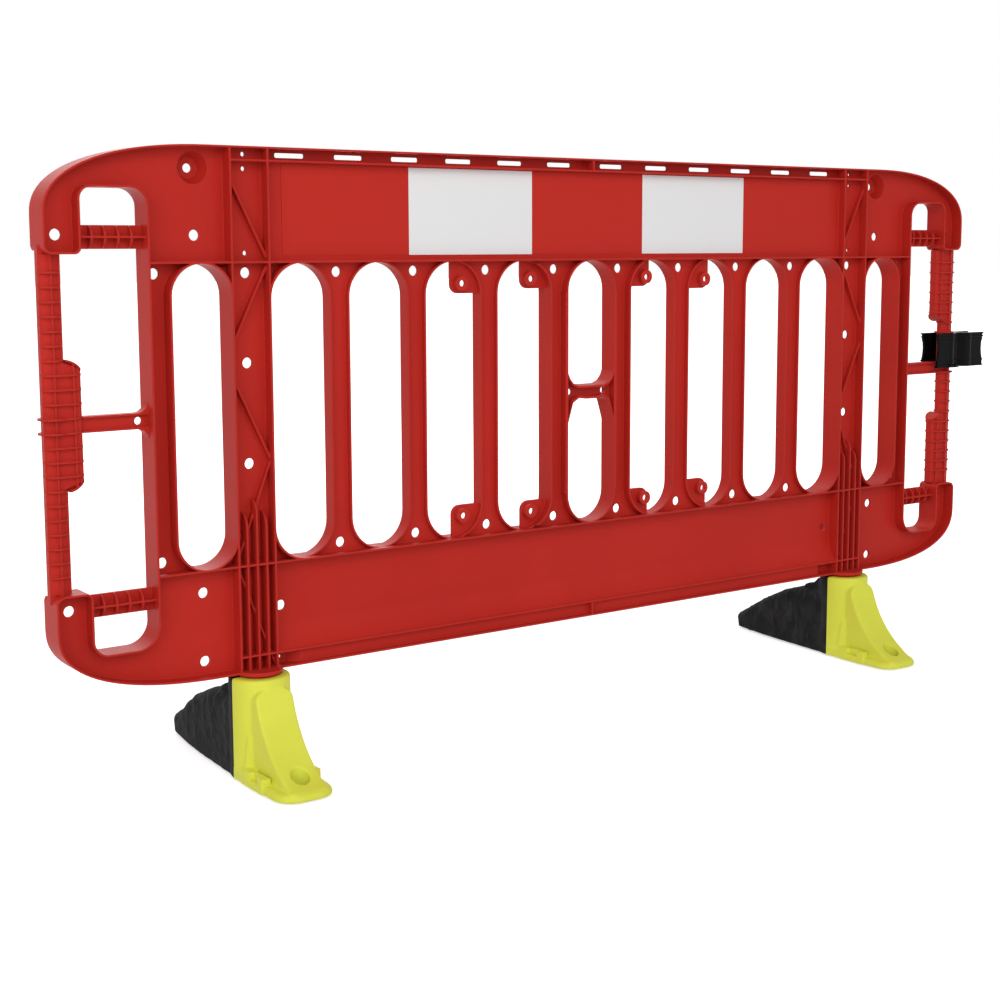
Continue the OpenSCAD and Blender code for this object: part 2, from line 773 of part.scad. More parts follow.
// Sign lug in an arch, on the side of the bar nearer the middle
module sign_lug(slot_x, hole_x, drop) {
    end_z = slot_top - drop - 17.5;
    front = front_y + 9;
    r = 16;
    difference() {
        union() {
            slab(-bar_y - web_t / 2, -bar_y + web_t / 2) lug_shape(slot_x, end_z, r);
            intersection() {
                along_y(slot_x - hole_x, slot_top - drop, lug_ring_r, front, -bar_y + web_t / 2);
                slab(front_y, -front_y) lug_shape(slot_x, end_z, r);
            }
        }
        along_y(slot_x - hole_x, slot_top - drop, lug_hole_r, front_y, -front_y);
    }
}

module lug_shape(slot_x, end_z, r) {
    intersection() {
        slot_shape(slot_x, slot_r, 0);
        union() {
            translate([slot_x - slot_r, end_z]) square([slot_r - r, slot_r + 20]);
            translate([slot_x - r - 1, end_z + r]) square([r + 1, slot_r + 20]);
            translate([slot_x - r, end_z + r]) circle(r = r);
        }
    }
}

module lug_pair() {
    sign_lug(bar_pitch, lug_in_x, lug_in_drop);
    sign_lug(2 * bar_pitch, lug_out_x, lug_out_drop);
}

module sign_lugs() {
    color(red) for (s = [0, 1]) mirror([s, 0, 0]) {
        lug_pair();
        turned_over() lug_pair();
    }
}

// Reflective sheet stuck on the rail's face
module sheet(x0, w) {
    translate([x0, -face_y - sheet_t, slot_top + sheet_gap]) cube([w, sheet_t, sheet_h]);
}

module red_sheets() {
    x = sheet_mid_w / 2 + sheet_white_w;
    color(red) {
        sheet(-sheet_mid_w / 2, sheet_mid_w);
        for (s = [0, 1]) mirror([s, 0, 0]) sheet(x, sheet_run - x);
    }
}

module white_sheets() {
    color(white) for (s = [0, 1]) mirror([s, 0, 0])
        sheet(sheet_mid_w / 2, sheet_white_w);
}

// Socket and bolt recess that both halves of a foot share
module socket_cut() {
    translate([0, 0, socket_z]) cylinder(r = spigot_r + run_clear, h = collar_top);
    translate([0, 0, -1]) cylinder(r = bolt_r + 2, h = socket_z + 2);
    translate([0, 0, -1]) cylinder(r = 24, h = socket_z - 14 + 1);
}

// Outer shape of the collar
module collar() {
    e = 5;
    rotate_extrude() {
        translate([0, sole_z]) square([collar_r, collar_top - e - sole_z]);
        translate([0, sole_z]) square([collar_r - e, collar_top - sole_z]);
        translate([collar_r - e, collar_top - e]) circle(r = e);
    }
}

// Dovetail keys that hold the heel to the toe
module dovetails(c) {
    w = (collar_r - spigot_r) / 4;
    for (s = [-1, 1])
        translate([s * (collar_r + spigot_r) / 2, 0, sole_z]) linear_extrude(collar_top - 30 - sole_z)
            polygon([[-w / 2 - c, 0.01], [w / 2 + c, 0.01], [w + c, -6 - c], [-w - c, -6 - c]]);
}

// Side view of the toe's sweep
module sweep_shape() {
    difference() {
        translate([toe_arc_y + 50, sole_z]) square([-toe_arc_y - 60, strap_top - sole_z]);
        translate([toe_arc_y, toe_arc_z]) circle(r = toe_arc_r, $fn = 128);
    }
}

// Made solid along X about the foot's middle
module across(hw) {
    translate([-hw, 0, 0]) rotate([90, 0, 90]) linear_extrude(2 * hw) children();
}

// Front view of the strap with round upper corners
module strap_shape() {
    r = 16;
    translate([-strap_hw, 0]) square([2 * strap_hw, strap_top - r]);
    translate([-strap_hw + r, 0]) square([2 * (strap_hw - r), strap_top]);
    for (s = [-1, 1]) translate([s * (strap_hw - r), strap_top - r]) circle(r = r);
}

module toe_base() {
    front_r = 36;
    e = 5;
    hull() {
        for (s = [-1, 1]) {
            translate([s * (collar_r + 1 - front_r), -toe_len + front_r, sole_z]) {
                cylinder(r = front_r - 2, h = 1);
                translate([0, 0, 2]) cylinder(r = front_r, h = 4);
                cylinder(r = front_r - e, h = 12);
            }
            translate([s * (collar_r - 2), -3, sole_z]) {
                cylinder(r = 3, h = 18);
                translate([-s * e, 0, 0]) cylinder(r = 3, h = 23);
            }
        }
    }
}

// Notched block on the side of the toe, with its buttress
module side_block() {
    x = collar_r - 13;
    difference() {
        translate([x, -104, sole_z]) cube([16, 62, 35]);
        translate([x + 6, -90, sole_z + 11]) cube([12, 32, 30]);
        translate([x - 1, -106, sole_z + 28]) cube([20, 18, 10]);
    }
    translate([x, -36, sole_z]) cylinder(r1 = 16, r2 = 4, h = 76);
}

// Front half of a foot
module toe() {
    color(yellow) difference() {
        union() {
            intersection() {
                collar();
                translate([-collar_r - 1, -collar_r - 1, 0])
                    cube([2 * collar_r + 2, collar_r + 1, collar_top + 1]);
            }
            toe_base();
            intersection() {
                across(strap_hw) sweep_shape();
                slab(-toe_len + 8, 0) strap_shape();
            }
            for (s = [0, 1]) mirror([s, 0, 0]) side_block();
            for (x = [-34, 34], y = [-62, -100, -132])
                translate([x, y, 0]) cylinder(r = 4, h = sole_z + 1);
        }
        socket_cut();
        dovetails(0.2);
        translate([0, pin_in - toe_len, -1]) cylinder(r = pin_hole_r, h = 70);
        translate([-collar_r - 5, 0, -1]) cube([2 * collar_r + 10, 60, collar_top + 5]);
    }
}

// Rear half of a foot
module heel() {
    r = 14;
    reach = heel_len - 67;
    stations = [[0, collar_r - 3, 130], [100, collar_r - 9, 117], [146, 39, 101],
        [67 + 0.6 * reach, 33, 76], [heel_len - r, heel_end_hw, 36]];
    neck = [[30, 90], [30, collar_top - 6], [collar_r, collar_top - 16], [collar_r + 14, collar_top - 30],
        [collar_r + 36, 127], [collar_r + 46, 90]];
    color(rubber) difference() {
        union() {
            hull() {
                for (s = stations, x = [-1, 1]) {
                    translate([x * (s[1] - r), s[0], s[2] - r]) sphere(r = r, $fn = 32);
                    translate([x * (s[1] - 6), s[0] - 2, sole_z]) cylinder(r = 6, h = 4, $fn = 32);
                }
            }
            collar();
            across(28) polygon(neck);
            for (y = [74, 120, 166, 212, 258], x = [-1, 1])
                translate([x * (34 - y * 0.07), y, 0]) cylinder(r = 5, h = sole_z + 1);
        }
        socket_cut();
        translate([-collar_r - 5, -collar_r - 5, -1]) cube([2 * collar_r + 10, collar_r + 5, collar_top + 5]);
    }
    color(rubber) dovetails(0);
}

module on_axis(s) {
    translate([s * axis_x, -hub_y, 0]) children();
}

// Washer and bolt that keep the foot on the spigot
module washer() {
    color(steel) translate([0, 0, socket_z - 14 - 3.3]) difference() {
        cylinder(r = 20, h = 3);
        translate([0, 0, -1]) cylinder(r = bolt_r + 0.3, h = 5);
    }
}

module bolt() {
    under = socket_z - 14 - 3.3;
    color(steel) {
        translate([0, 0, under]) cylinder(r = bolt_r, h = socket_z + 12 - under);
        translate([0, 0, under - 8]) cylinder(r = bolt_r * 1.8, h = 8, $fn = 6);
    }
}

// Plan of the clip: two open rings back to back, grown outward by g
module clip_plan(g) {
    r = clip_in + clip_wall + g;
    arm = r - 1.2;
    ends = [[0, -1], [clip_span, 1]];
    difference() {
        union() {
            for (c = ends) translate([c[0], 0]) {
                circle(r = r);
                translate([c[1] > 0 ? 0 : -clip_reach - g, -arm]) square([clip_reach + g, 2 * arm]);
            }
            translate([0, -r / 2]) square([clip_span, r]);
        }
        for (c = ends) translate([c[0], 0]) {
            circle(r = clip_in);
            polygon([[0, 0.8 * clip_in], [c[1] * (clip_reach + 5), clip_mouth],
                [c[1] * (clip_reach + 5), -clip_mouth], [0, -0.8 * clip_in]]);
        }
    }
}

module connector_clip() {
    ridge = 3;
    cut_r = clip_h;
    color(black) translate([post_x, 0, clip_z]) difference() {
        union() {
            linear_extrude(clip_h) clip_plan(0);
            for (z = [0, clip_h - 17, clip_h - 10, clip_h - ridge, 12])
                translate([0, 0, z]) linear_extrude(ridge) clip_plan(1.5);
            linear_extrude(5) difference() {
                union() {
                    circle(r = clip_in + clip_wall + 10);
                    translate([-clip_reach - 5, -clip_mouth - 9]) square([clip_reach + 5, 2 * clip_mouth + 18]);
                }
                circle(r = clip_in);
                translate([-clip_reach - 9, -clip_mouth - 0.8]) square([clip_reach + 9, 2 * clip_mouth + 1.6]);
            }
        }
        for (x = [-clip_reach - cut_r + 4, clip_span + clip_reach + cut_r - 4])
            along_y(x, clip_h / 2 + 3, cut_r, -60, 60);
    }
}

top_rail();
kick_board();
upper_gussets();
lower_gussets();
bar(1);  // bar_1
bar(2);  // bar_2
bar(3);  // bar_3
bar(4);  // bar_4
bar(5);  // bar_5
bar(6);  // bar_6
bar(7);  // bar_7
bar(8);  // bar_8
left_side() upright();  // left_upright
upright();  // right_upright
left_side() hub();  // left_hub
hub();  // right_hub
left_side() top_corner();  // left_top_corner
top_corner();  // right_top_corner
left_side() low_corner();  // left_low_corner
low_corner();  // right_low_corner
left_side() top_hook();  // left_top_hook
top_hook();  // right_top_hook
left_side() low_hook();  // left_low_hook
low_hook();  // right_low_hook
left_side() stile();  // left_stile
stile();  // right_stile
left_side() end_post(true);  // left_end_post
end_post(false);  // right_end_post
left_side() grip(hook_top_z + grip_in);  // left_top_grip
grip(hook_top_z + grip_in);  // right_top_grip
left_side() grip(hook_low_z - grip_in);  // left_low_grip
grip(hook_low_z - grip_in);  // right_low_grip
left_side() brace(hook_in);  // left_brace
right_brace();
carry_handle();
sign_lugs();
red_sheets();
white_sheets();
on_axis(-1) toe();  // left_toe
on_axis(1) toe();  // right_toe
on_axis(-1) heel();  // left_heel
on_axis(1) heel();  // right_heel
on_axis(-1) washer();  // left_washer
on_axis(1) washer();  // right_washer
on_axis(-1) bolt();  // left_bolt
on_axis(1) bolt();  // right_bolt
connector_clip();
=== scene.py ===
import json
import math

import bpy
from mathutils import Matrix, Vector


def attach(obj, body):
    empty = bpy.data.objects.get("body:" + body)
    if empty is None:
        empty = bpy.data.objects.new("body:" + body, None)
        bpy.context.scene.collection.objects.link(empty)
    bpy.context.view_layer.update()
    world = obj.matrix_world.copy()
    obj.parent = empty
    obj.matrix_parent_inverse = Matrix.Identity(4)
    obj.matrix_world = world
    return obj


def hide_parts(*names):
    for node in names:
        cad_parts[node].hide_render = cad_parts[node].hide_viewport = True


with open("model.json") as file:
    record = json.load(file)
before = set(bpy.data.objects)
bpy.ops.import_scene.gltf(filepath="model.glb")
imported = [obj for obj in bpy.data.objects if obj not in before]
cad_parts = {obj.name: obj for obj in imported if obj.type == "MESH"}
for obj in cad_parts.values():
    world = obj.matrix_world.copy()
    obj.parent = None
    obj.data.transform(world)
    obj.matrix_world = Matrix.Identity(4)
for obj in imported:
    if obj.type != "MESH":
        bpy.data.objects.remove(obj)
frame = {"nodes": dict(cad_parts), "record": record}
nodes = frame["nodes"]
slotOf = {entry["node"]: entry["material_slot"] for entry in frame["record"]["subparts"]}
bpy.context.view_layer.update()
bpy.ops.object.select_all(action="DESELECT")
print("frame loaded,", len(nodes), "CAD nodes")


# small wrapper so that shader sums read as plain sums
class Field:
    def __init__(self, finish, socket):
        self.finish = finish
        self.socket = socket

    def maths(self, operation, a, b):
        return self.finish.add("ShaderNodeMath", {"operation": operation}, {0: a, 1: b})

    def __add__(self, other):
        return self.maths("ADD", self, other)

    def __radd__(self, other):
        return self.maths("ADD", other, self)

    def __sub__(self, other):
        return self.maths("SUBTRACT", self, other)

    def __rsub__(self, other):
        return self.maths("SUBTRACT", other, self)

    def __mul__(self, other):
        return self.maths("MULTIPLY", self, other)

    def __rmul__(self, other):
        return self.maths("MULTIPLY", other, self)

    def between(self, low, high):
        return self.finish.add("ShaderNodeMapRange", {"interpolation_type": "SMOOTHSTEP"},
                               {"Value": self, "From Min": low, "From Max": high})


class Finish:
    def __init__(self, name):
        self.material = bpy.data.materials.new(name)
        self.material.use_nodes = True
        self.tree = self.material.node_tree
        self.shader = self.tree.nodes["Principled BSDF"]

    def add(self, kind, settings=None, inputs=None, out=0):
        made = self.tree.nodes.new(kind)
        for key, value in (settings or {}).items():
            setattr(made, key, value)
        for key, value in (inputs or {}).items():
            self.plug(made.inputs[key], value)
        return Field(self, made.outputs[out])

    def plug(self, socket, value):
        if isinstance(value, Field):
            self.tree.links.new(value.socket, socket)
        elif socket.type == "RGBA" and len(value) == 3:
            socket.default_value = (*value, 1)
        else:
            socket.default_value = value

    def shade(self, **sockets):
        for name, value in sockets.items():
            self.plug(self.shader.inputs[name.replace("_", " ")], value)

    def blend(self, share, low, high):
        return self.add("ShaderNodeMix", {"data_type": "RGBA"}, {0: share, 6: low, 7: high}, out=2)

    def noise(self, place, scale, detail=3.0, roughness=0.5):
        return self.add("ShaderNodeTexNoise", None,
                        {"Vector": place, "Scale": scale, "Detail": detail, "Roughness": roughness})

    def place(self, stretch=None):
        spot = self.add("ShaderNodeTexCoord", out="Object")
        if stretch:
            spot = self.add("ShaderNodeMapping", None, {"Vector": spot, "Scale": stretch})
        return spot

    def rounded(self, radius, samples=8):
        return self.add("ShaderNodeBevel", {"samples": samples}, {"Radius": radius})

    def bump(self, height, strength, distance, normal=None):
        inputs = {"Strength": strength, "Distance": distance, "Height": height}
        if normal:
            inputs["Normal"] = normal
        return self.add("ShaderNodeBump", None, inputs)


mouldedRed = {
    "colour": (0.498, 0.0238, 0.0158),
    "deepColour": (0.455, 0.0206, 0.0138),
    # edges and creases get a lighter red in the colour itself
    "edgeColour": (0.585, 0.052, 0.040),
    "edgeRadius": 0.0024,
    "edgeWear": 0.45,
    "wearBand": (0.01, 0.16),
    "cloud": 3.5,
    "cloudBand": (0.35, 0.7),
    "scuff": 38.0,
    "scuffStretch": (1, 1, 9),
    "scuffBand": (0.62, 0.78),
    "grain": 700.0,
    "grainStrength": 0.10,
    "grainDepth": 0.0004,
    "roughness": 0.46,
    "unevenness": 0.08,
    "gloss": 0.09,
}


def makeMouldedRed():
    p = mouldedRed
    f = Finish("mouldedRed")
    spot = f.place()
    cloud = f.noise(spot, p["cloud"], detail=4.0)
    grain = f.noise(spot, p["grain"], detail=2.0)
    scuffs = f.noise(f.place(p["scuffStretch"]), p["scuff"], detail=5.0, roughness=0.65)
    rounded = f.rounded(p["edgeRadius"])
    flat = f.add("ShaderNodeNewGeometry", out="Normal")
    meet = f.add("ShaderNodeVectorMath", {"operation": "DOT_PRODUCT"}, {0: rounded, 1: flat}, out="Value")
    # the colour turns lighter along edges and creases, where the rounded normal parts from the flat one
    nearEdge = (1 - meet).between(*p["wearBand"])
    body = f.blend(cloud.between(*p["cloudBand"]), p["deepColour"], p["colour"])
    uneven = p["unevenness"]
    f.shade(Base_Color=f.blend(nearEdge * p["edgeWear"], body, p["edgeColour"]),
            Roughness=(p["roughness"] - uneven / 2 + cloud * uneven
                       + scuffs.between(*p["scuffBand"]) * uneven),
            Normal=f.bump(grain, p["grainStrength"], p["grainDepth"], rounded),
            Specular_IOR_Level=p["gloss"])
    return f.material


reflectiveSheets = {
    "red": (0.490, 0.0234, 0.0152),
    "white": (0.775, 0.775, 0.778),
    "darkening": 0.9,
    "cell": 260.0,
    "cellStretch": (1, 0.01, 1),
    "cellJitter": 0.12,
    "wallBand": (0.02, 0.09),
    "wallShade": 0.25,
    "wallRoughness": 0.12,
    "wallStrength": 0.08,
    "wallDepth": 0.0003,
    "cloud": 5.0,
    "cloudShade": 0.15,
    "roughness": 0.44,
    "gloss": 0.09,
}


def makeSheet(name, colour):
    p = reflectiveSheets
    f = Finish(name)
    cells = f.add("ShaderNodeTexVoronoi", {"feature": "DISTANCE_TO_EDGE"},
                  {"Vector": f.place(p["cellStretch"]), "Scale": p["cell"], "Randomness": p["cellJitter"]})
    wall = 1 - cells.between(*p["wallBand"])
    cloud = f.noise(f.place(), p["cloud"])
    darker = tuple(c * p["darkening"] for c in colour)
    f.shade(Base_Color=f.blend(wall * p["wallShade"] + cloud * p["cloudShade"], colour, darker),
            Roughness=p["roughness"] + wall * p["wallRoughness"],
            Normal=f.bump(wall, p["wallStrength"], p["wallDepth"]),
            Specular_IOR_Level=p["gloss"])
    return f.material


yellowPlastic = {
    "colour": (0.745, 0.770, 0.078),
    "deepColour": (0.685, 0.710, 0.064),
    "cloud": 9.0,
    "cloudBand": (0.3, 0.75),
    "grain": 800.0,
    "grainStrength": 0.12,
    "grainDepth": 0.0004,
    "roughness": 0.50,
    "unevenness": 0.08,
    "gloss": 0.22,
}


def makeYellow():
    p = yellowPlastic
    f = Finish("yellowToe")
    spot = f.place()
    cloud = f.noise(spot, p["cloud"], detail=4.0)
    grain = f.noise(spot, p["grain"], detail=2.0)
    f.shade(Base_Color=f.blend(cloud.between(*p["cloudBand"]), p["deepColour"], p["colour"]),
            Roughness=p["roughness"] - p["unevenness"] / 2 + cloud * p["unevenness"],
            Normal=f.bump(grain, p["grainStrength"], p["grainDepth"]),
            Specular_IOR_Level=p["gloss"])
    return f.material


crumbRubber = {
    "dark": (0.0065, 0.0065, 0.0070),
    "mid": (0.0140, 0.0140, 0.0145),
    "pale": (0.0330, 0.0330, 0.0335),
    "crumb": 110.0,
    "patch": 26.0,
    "patchBand": (0.36, 0.62),
    "streak": 62.0,
    "streakStretch": (1, 1, 0.16),
    "streakInPatch": (0.6, 0.4),
    "streakBand": (0.50, 0.66),
    "streakShare": 0.75,
    "fine": 420.0,
    "crumbHeight": 0.5,
    "patchHeight": 1.1,
    "streakHeight": 0.5,
    "fineHeight": 0.25,
    "bumpStrength": 0.5,
    "bumpDepth": 0.003,
    "roughness": 0.82,
    "unevenness": 0.2,
    "gloss": 0.14,
}


def makeRubber():
    p = crumbRubber
    f = Finish("crumbRubber")
    spot = f.place()
    crumbs = f.add("ShaderNodeTexVoronoi", None, {"Vector": spot, "Scale": p["crumb"]}, out="Distance")
    patch = f.noise(spot, p["patch"], detail=6.0, roughness=0.62)
    streak = f.noise(f.place(p["streakStretch"]), p["streak"], detail=4.0, roughness=0.6)
    fine = f.noise(spot, p["fine"], detail=4.0)
    ofStreak, ofPatch = p["streakInPatch"]
    lines = (streak * ofStreak + patch * ofPatch).between(*p["streakBand"])
    body = f.blend(patch.between(*p["patchBand"]), p["dark"], p["mid"])
    height = (crumbs * p["crumbHeight"] + patch * p["patchHeight"]
              + streak * p["streakHeight"] + fine * p["fineHeight"])
    f.shade(Base_Color=f.blend(lines * p["streakShare"], body, p["pale"]),
            Roughness=p["roughness"] - p["unevenness"] / 2 + fine * p["unevenness"],
            Normal=f.bump(height, p["bumpStrength"], p["bumpDepth"]),
            Specular_IOR_Level=p["gloss"])
    return f.material


glossClip = {
    "colour": (0.0034, 0.0034, 0.0038),
    "edgeRadius": 0.0010,
    "cloud": 60.0,
    "cloudStrength": 0.06,
    "cloudDepth": 0.0005,
    "roughness": 0.20,
    "unevenness": 0.1,
    "gloss": 0.045,
}


def makeClip():
    p = glossClip
    f = Finish("glossClip")
    cloud = f.noise(f.place(), p["cloud"])
    f.shade(Base_Color=p["colour"],
            Roughness=p["roughness"] - p["unevenness"] / 2 + cloud * p["unevenness"],
            Normal=f.bump(cloud, p["cloudStrength"], p["cloudDepth"], f.rounded(p["edgeRadius"])),
            Specular_IOR_Level=p["gloss"])
    return f.material


zincSteel = {
    "dark": (0.42, 0.42, 0.43),
    "pale": (0.62, 0.62, 0.63),
    "spangle": 300.0,
    "roughness": 0.3,
    "unevenness": 0.2,
}


def makeSteel():
    p = zincSteel
    f = Finish("zincSteel")
    spangle = f.noise(f.place(), p["spangle"])
    f.shade(Base_Color=f.blend(spangle, p["dark"], p["pale"]),
            Roughness=p["roughness"] + spangle * p["unevenness"],
            Metallic=1.0)
    return f.material


finishes = {
    "red_plastic": makeMouldedRed(),
    "red_sheet": makeSheet("redSheet", reflectiveSheets["red"]),
    "white_sheet": makeSheet("whiteSheet", reflectiveSheets["white"]),
    "yellow_plastic": makeYellow(),
    "black_rubber": makeRubber(),
    "black_plastic": makeClip(),
    "steel": makeSteel(),
}
for name, slot in slotOf.items():
    nodes[name].data.materials.clear()
    nodes[name].data.materials.append(finishes[slot])
print("finishes on the CAD nodes")

mergeGap = 0.000001
hair = 0.0001  # places closer than this are the same
turnTo = {"x": (0, math.radians(90), 0), "y": (math.radians(90), 0, 0), "z": (0, 0, 0)}


def pick(piece):
    bpy.ops.object.select_all(action="DESELECT")
    piece.select_set(True)
    bpy.context.view_layer.objects.active = piece


# own mesh with the loose CAD triangles merged
def copyOf(nodeName, pieceName):
    piece = bpy.data.objects.new(pieceName, nodes[nodeName].data.copy())
    bpy.context.scene.collection.objects.link(piece)
    pick(piece)
    bpy.ops.object.mode_set(mode="EDIT")
    bpy.ops.mesh.select_all(action="SELECT")
    bpy.ops.mesh.remove_doubles(threshold=mergeGap)
    bpy.ops.object.mode_set(mode="OBJECT")
    bpy.ops.mesh.customdata_custom_splitnormals_clear()
    return piece


def applied(piece, kind, **settings):
    modifier = piece.modifiers.new(kind.lower(), kind)
    for key, value in settings.items():
        setattr(modifier, key, value)
    pick(piece)
    bpy.ops.object.modifier_apply(modifier=modifier.name)


def settle(piece, body, slot, replaced):
    piece.data.materials.clear()
    piece.data.materials.append(finishes[slot])
    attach(piece, body)
    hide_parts(*replaced)


def joined(piece, other, operation="UNION"):
    applied(piece, "BOOLEAN", operation=operation, solver="MANIFOLD", object=other)
    bpy.data.objects.remove(other)


def block(low, high):
    size = [abs(b - a) for a, b in zip(low, high)]
    middle = [(a + b) / 2 for a, b in zip(low, high)]
    bpy.ops.mesh.primitive_cube_add(size=1, location=middle, scale=size)
    return bpy.context.object


# block between named spans, counted from an origin and mirrored for the other side
def spanBlock(spans, turn=1, origin=(0, 0)):
    x0, x1 = sorted(origin[0] + turn * x for x in spans["x"])
    y0, y1 = [origin[1] + y for y in spans["y"]]
    z0, z1 = spans["z"]
    return block((x0, y0, z0), (x1, y1, z1))


def rod(way, place, radius, length, facets):
    bpy.ops.mesh.primitive_cylinder_add(vertices=facets, radius=radius, depth=length,
                                        location=place, rotation=turnTo[way])
    return bpy.context.object


# leaves a new block with its place in its mesh and nothing selected
def unpicked(piece):
    pick(piece)
    bpy.ops.object.transform_apply(location=True, rotation=False, scale=True)
    bpy.ops.object.mode_set(mode="EDIT")
    bpy.ops.mesh.select_all(action="DESELECT")
    bpy.ops.object.mode_set(mode="OBJECT")


# moves the corners of a block that a test picks
def shiftCorners(piece, test, way):
    unpicked(piece)
    for vertex in piece.data.vertices:
        vertex.select = test(vertex.co)
    bpy.ops.object.mode_set(mode="EDIT")
    bpy.ops.transform.translate(value=way)
    bpy.ops.object.mode_set(mode="OBJECT")


# rounds the edges of a block that a test of their two ends picks
def roundEdges(piece, test, radius, segments):
    unpicked(piece)
    for edge in piece.data.edges:
        edge.select = test(*[piece.data.vertices[k].co for k in edge.vertices])
    bpy.ops.object.mode_set(mode="EDIT")
    bpy.ops.mesh.bevel(offset=radius, segments=segments)
    bpy.ops.object.mode_set(mode="OBJECT")


crowns = {
    "thick": 0.003,
    "share": 0.55,
    "spare": 0.01,
    "facets": 96,
    "slots": [
        {"x": 0.0, "radius": 0.0527, "depth": (-0.0225, 0.0155), "half": 0},
        {"x": 0.5852, "radius": 0.0550, "depth": (-0.0275, 0.0200), "half": 1},
        {"x": 0.7564, "radius": 0.0496, "depth": (-0.0275, 0.0200), "half": -1},
    ],
    "top": 0.821,
    "bottom": 0.347,
}


# the deep lips of the arches run on until they meet the rails
def runCrowns(panel):
    p = crowns
    for slot in p["slots"]:
        r, (y0, y1) = slot["radius"], slot["depth"]
        front, back = y0 - p["spare"], y1 + p["spare"]
        for turn in ((1, -1) if slot["half"] else (1,)):
            for edge, up in ((p["top"], 1), (p["bottom"], -1)):
                x, z, side = slot["x"] * turn, edge - up * r, slot["half"] * turn
                middle = (x, (y0 + y1) / 2, z)
                lip = rod("y", middle, r + p["thick"], y1 - y0, p["facets"])
                joined(lip, rod("y", middle, r, back - front, p["facets"]), "DIFFERENCE")
                x0, x1 = x - (side <= 0) * r, x + (side >= 0) * r
                z0, z1 = sorted((z + up * p["share"] * r, edge + up * p["thick"]))
                joined(lip, block((x0, front, z0), (x1, back, z1)), "INTERSECT")
                joined(panel, lip)


centreBars = {"x": (0.0883, 0.0913), "y": (-0.0225, 0.0155), "z": (0.402, 0.766)}


# the outer lips of the two centre bars are as deep as the arches above and below them
def deepenCentreBars(panel):
    for turn in (-1, 1):
        joined(panel, spanBlock(centreBars, turn))


posts = {
    "x": 0.9855,
    "reach": (0.334, 0.836),
    "clipGap": (0.574, 0.660),
    "core": (0.0165, 0.0100),
    "coreFacets": 64,
    "inner": 0.0415,
    "middle": (0.487, 0.683),
    "slope": 0.014,
    "round": 0.005,
    "roundSteps": 4,
    "shortest": 0.02,
}


# oval core behind the discs and fins, and the wider flat beside it
def fillPosts(panel):
    p = posts
    low, high = p["reach"]
    gapLow, gapHigh = p["clipGap"]
    width, depth = p["core"]
    for x, z0, z1 in ((-p["x"], low, high), (p["x"], low, gapLow), (p["x"], gapHigh, high)):
        bpy.ops.mesh.primitive_cylinder_add(vertices=p["coreFacets"], radius=1, depth=z1 - z0,
                                            location=(x, 0, (z0 + z1) / 2), scale=(width, depth, 1))
        joined(panel, bpy.context.object)
    z0, z1 = p["middle"]
    for side, bottom, top, slopes in ((-1, z0, z1, (1, 1)), (1, low, z0, (0, 1)), (1, z1, high, (1, 0))):
        outer, inner = side * p["x"], side * (p["x"] - p["inner"])
        wide = block((outer, -depth, bottom), (inner, depth, top))

        def onInner(at):
            return abs(at.x - inner) < hair

        for end, rise in ((bottom, slopes[0] * p["slope"]), (top, -slopes[1] * p["slope"])):
            shiftCorners(wide, lambda at: abs(at.z - end) < hair and onInner(at), (0, 0, rise))
        roundEdges(wide, lambda a, b: onInner(a) and onInner(b) and abs(a.z - b.z) > p["shortest"],
                   p["round"], p["roundSteps"])
        joined(panel, wide)


ledge = {
    "half": 0.6402,
    "edge": (-0.0245, 0.200),
    "web": -0.0025,
    "height": 0.044,
    "sweepFacets": 256,
    "strip": (-0.0165, 0.173, 0.198),
    "stripEnd": 0.022,
}


# hollow sweep from the kick board's web down to its ledge, and the strip below the ledge
def sweepLedge(panel):
    p = ledge
    edgeY, edgeZ = p["edge"]
    top = edgeZ + p["height"]
    deep = p["web"] - edgeY
    radius = (deep ** 2 + p["height"] ** 2) / (2 * deep)
    sweep = block((-p["half"], edgeY, edgeZ), (p["half"], p["web"], top))
    hollow = rod("x", (0, p["web"] - radius, top), radius, 3 * p["half"], p["sweepFacets"])
    joined(sweep, hollow, "DIFFERENCE")
    joined(panel, sweep)
    face, stripLow, stripHigh = p["strip"]
    end = p["half"] - p["stripEnd"]
    strip = block((-end, face, stripLow), (end, 0, stripHigh))
    for turn in (-1, 1):
        shiftCorners(strip, lambda at: at.x * turn > 0 and at.y < face / 2, (-turn * p["stripEnd"], 0, 0))
    joined(panel, strip)


zigzag = {
    "inner": 0.6420,
    "outer": 0.7050,
    "thick": 0.0032,
    "y": (-0.0170, -0.0030),
    "lines": (
        ("outer", 0.958, "inner", 0.829),
        ("inner", 0.818, "outer", 0.6892),
        ("outer", 0.647, "inner", 0.512),
        ("inner", 0.509, "outer", 0.348),
        ("outer", 0.348, "inner", 0.180),
    ),
    "clear": {"x": (0.6432, 0.7038), "y": (-0.0300, -0.0060), "z": (0.4490, 0.5090)},
    "rearWall": {"x": (0.6402, 0.6432), "y": (0.0000, 0.0275), "z": (0.1760, 0.3450)},
}


# the zigzag keeps its thickness on the slant and runs on behind the fins
def ribUprights(panel):
    p = zigzag
    y0, y1 = p["y"]
    for turn in (-1, 1):
        joined(panel, spanBlock(p["clear"], turn), "DIFFERENCE")
        joined(panel, spanBlock(p["rearWall"], turn))
        for fromSide, z0, toSide, z1 in p["lines"]:
            x0, x1 = turn * p[fromSide], turn * p[toSide]
            middle = ((x0 + x1) / 2, (y0 + y1) / 2, (z0 + z1) / 2)
            bpy.ops.mesh.primitive_cube_add(size=1, location=middle,
                                            rotation=(0, math.atan2(z0 - z1, x1 - x0), 0),
                                            scale=(math.hypot(x1 - x0, z1 - z0), y1 - y0, p["thick"]))
            joined(panel, bpy.context.object)


